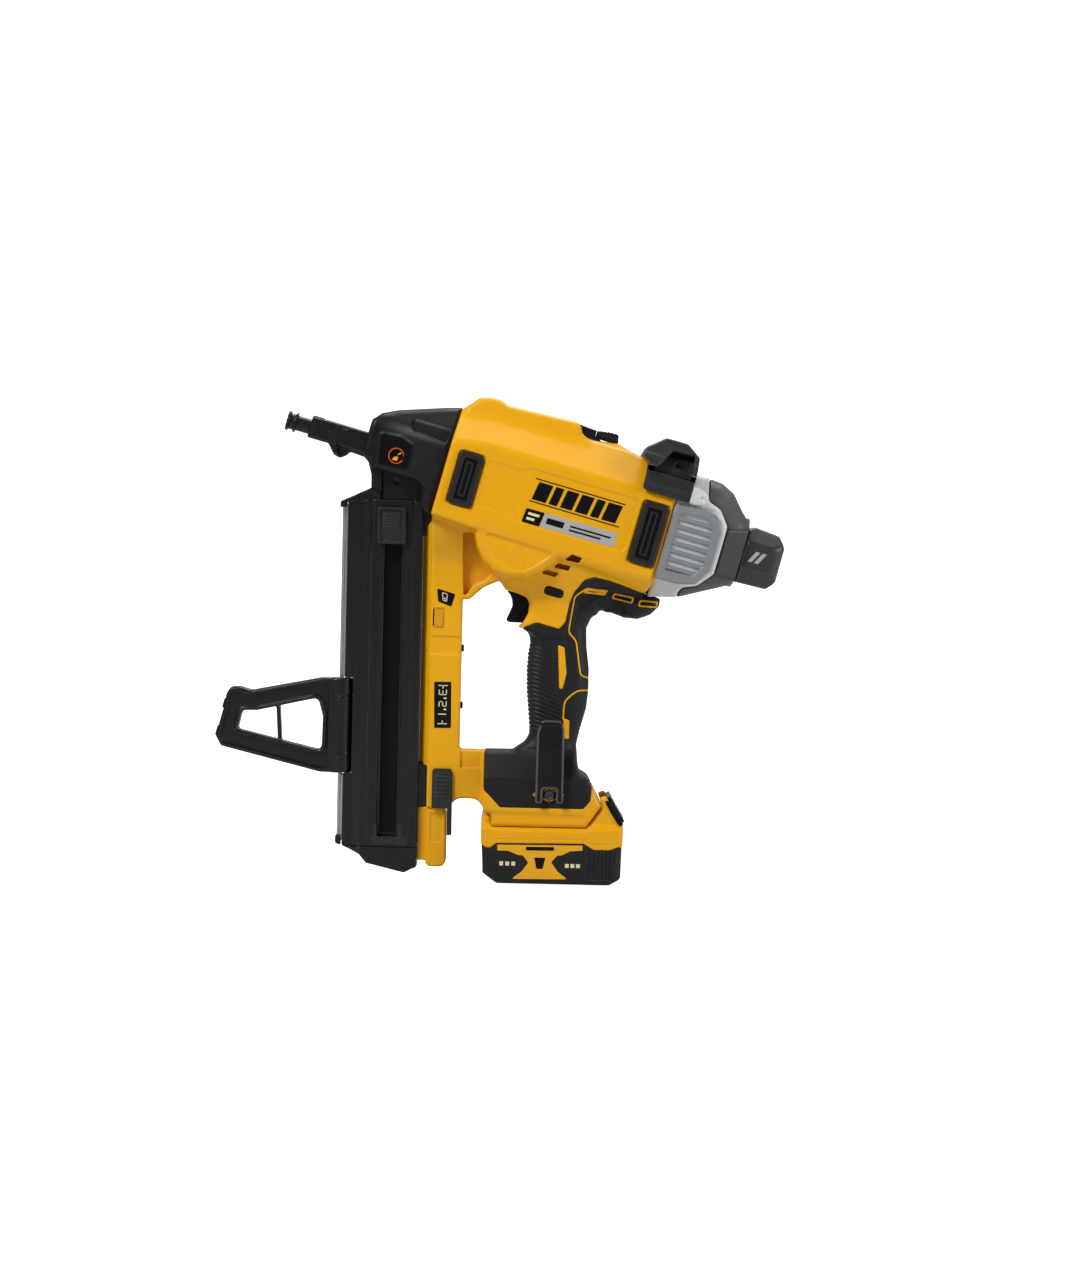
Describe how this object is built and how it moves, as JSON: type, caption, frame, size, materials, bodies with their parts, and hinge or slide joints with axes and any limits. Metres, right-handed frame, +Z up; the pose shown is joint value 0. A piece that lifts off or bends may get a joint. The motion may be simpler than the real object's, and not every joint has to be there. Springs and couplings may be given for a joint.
{
  "type": "cordless pin nailer",
  "caption": "Cordless pin nailer with an upright magazine, a tilted flywheel-driven barrel, a pistol grip, a swing-out support foot and a slide-on battery.",
  "frame": {"origin": "centre of the battery's base, on the tool's mid-plane", "axes": "+X to the rear of the tool, +Y to its right-hand side, +Z up"},
  "size_m": [0.4729, 0.0972, 0.404],
  "materials": {
    "yellow": "satin moulded",
    "grip_rubber": "soft matt",
    "steel": "bright",
    "dark_steel": "blackened",
    "black_plastic": "fine texture",
    "cast_metal": "as cast",
    "bumper_rubber": "matt",
    "stator_steel": "laminated",
    "light_grey_metal": "satin",
    "dome_grey": "fine texture",
    "cap_grey": "satin",
    "pad_rubber": "satin",
    "lens": "clear",
    "board": "potted",
    "magazine_black": "satin",
    "spring_steel": "bright",
    "battery_black": "fine texture",
    "cell_wrap": "shrink wrap"
  },
  "bodies": {
    "tool": {"housing_left": "yellow", "housing_right": "yellow", "grip_skin_left": "grip_rubber", "grip_skin_right": "grip_rubber", "housing_screws": "steel", "nose_block": "dark_steel", "nose_cover": "black_plastic", "drive_frame": "cast_metal", "guide_rods": "steel", "front_bumper": "bumper_rubber", "rear_bumper": "bumper_rubber", "motor_stator": "stator_steel", "flywheel_axle": "steel", "solenoid": "stator_steel", "rear_ring": "light_grey_metal", "rear_dome": "dome_grey", "rear_cap": "cap_grey", "vent_panel_left": "light_grey_metal", "vent_panel_right": "light_grey_metal", "front_pad_left": "pad_rubber", "front_pad_right": "pad_rubber", "rear_pad_left": "pad_rubber", "rear_pad_right": "pad_rubber", "trigger_pin": "steel", "trigger_switch": "black_plastic", "lamp_lens": "lens", "controller_board": "board", "terminal_block": "black_plastic", "magazine_body": "magazine_black", "magazine_top": "black_plastic", "magazine_end_cap": "black_plastic", "magazine_rod": "steel", "pusher_spring": "spring_steel", "magazine_shoe": "yellow", "belt_hook": "dark_steel", "belt_hook_screw": "steel", "return_springs": "spring_steel", "trip_spring": "spring_steel"},
    "contact_trip": {"contact_trip": "dark_steel", "trip_arm": "dark_steel"},
    "driver": {"driver_carriage": "cast_metal", "driver_blade": "steel"},
    "flywheel": {"flywheel": "steel", "flywheel_bearing": "steel"},
    "pinch_arm": {"pinch_arm": "dark_steel"},
    "pinch_roller": {"pinch_roller": "steel"},
    "plunger": {"solenoid_plunger": "steel"},
    "trigger": {"trigger": "black_plastic"},
    "lock_off": {"lock_off_button": "black_plastic"},
    "light_button": {"light_button": "black_plastic"},
    "power_button": {"power_button": "black_plastic"},
    "stall_lever": {"stall_lever": "black_plastic"},
    "top_slider": {"top_slider": "black_plastic"},
    "pusher": {"pusher": "black_plastic"},
    "magazine_latch": {"magazine_latch": "black_plastic"},
    "support_foot": {"support_foot": "black_plastic"},
    "battery": {"battery_upper_case": "yellow", "battery_lower_case": "battery_black", "battery_cells": "cell_wrap"},
    "battery_release": {"battery_release": "black_plastic"}
  },
  "joints": [
    {"name": "trip_slide", "type": "slide", "parent": "tool", "child": "contact_trip", "axis": [0.9659, 0, -0.2588], "range_m": [0, 0.0112], "stiffness_N_per_m": 300, "springref_m": -0.01, "deforming": ["trip_spring"]},
    {"name": "driver_slide", "type": "slide", "parent": "tool", "child": "driver", "axis": [-0.9659, 0, 0.2588], "range_m": [0, 0.106], "stiffness_N_per_m": 120, "springref_m": -0.03, "deforming": ["return_springs"]},
    {"name": "flywheel_spin", "type": "hinge", "parent": "tool", "child": "flywheel", "pos_m": [-0.03448, 0, 0.28441], "axis": [0, 1, 0], "continuous": true},
    {"name": "pinch_tilt", "type": "hinge", "parent": "tool", "child": "pinch_arm", "pos_m": [0.01441, 0, 0.3355], "axis": [0, -1, 0], "range_deg": [0, 2.4], "stiffness_Nm_per_rad": 4, "springref_deg": -2.86},
    {"name": "roller_spin", "type": "hinge", "parent": "pinch_arm", "child": "pinch_roller", "pos_m": [-0.01869, 0, 0.34333], "axis": [0, 1, 0], "continuous": true},
    {"name": "plunger_slide", "type": "slide", "parent": "tool", "child": "plunger", "axis": [-0.9659, 0, 0.2588], "range_m": [0, 0.00085]},
    {"name": "trigger_pull", "type": "hinge", "parent": "tool", "child": "trigger", "pos_m": [-0.031, 0, 0.2378], "axis": [0, -1, 0], "range_deg": [0, 12], "stiffness_Nm_per_rad": 0.3, "springref_deg": -11.46},
    {"name": "lock_off_slide", "type": "slide", "parent": "tool", "child": "lock_off", "axis": [0, 1, 0], "range_m": [-0.0025, 0.0025]},
    {"name": "light_button_push", "type": "slide", "parent": "tool", "child": "light_button", "axis": [-1, 0, 0], "range_m": [0, 0.0015], "stiffness_N_per_m": 400, "springref_m": -0.001},
    {"name": "power_button_push", "type": "slide", "parent": "tool", "child": "power_button", "axis": [-1, 0, 0], "range_m": [0, 0.0015], "stiffness_N_per_m": 400, "springref_m": -0.001},
    {"name": "stall_lever_swing", "type": "hinge", "parent": "tool", "child": "stall_lever", "pos_m": [0.11705, 0, 0.32332], "axis": [0, 1, 0], "range_deg": [0, 35], "stiffness_Nm_per_rad": 0.4, "springref_deg": -17.19},
    {"name": "top_slider_move", "type": "slide", "parent": "tool", "child": "top_slider", "axis": [0.9659, 0, -0.2588], "range_m": [0, 0.01]},
    {"name": "pusher_slide", "type": "slide", "parent": "tool", "child": "pusher", "axis": [0, 0, -1], "range_m": [0, 0.244], "stiffness_N_per_m": 12, "springref_m": -0.5},
    {"name": "magazine_latch_slide", "type": "slide", "parent": "tool", "child": "magazine_latch", "axis": [0, 0, -1], "range_m": [0, 0.006], "stiffness_N_per_m": 400, "springref_m": -0.004},
    {"name": "support_foot_swing", "type": "hinge", "parent": "tool", "child": "support_foot", "pos_m": [-0.17975, 0, 0.1275], "axis": [0, 0, 1], "range_deg": [-90, 90]},
    {"name": "battery_slide", "type": "slide", "parent": "tool", "child": "battery", "axis": [1, 0, 0], "range_m": [0, 0.09]},
    {"name": "battery_release_push", "type": "slide", "parent": "battery", "child": "battery_release", "axis": [-0.8395, 0, -0.5434], "range_m": [0, 0.0022], "stiffness_N_per_m": 500, "springref_m": -0.002}
  ],
  "couplings": [
    {"joint": "plunger_slide", "follows": "pinch_tilt", "m_per_rad": 0.02}
  ]
}
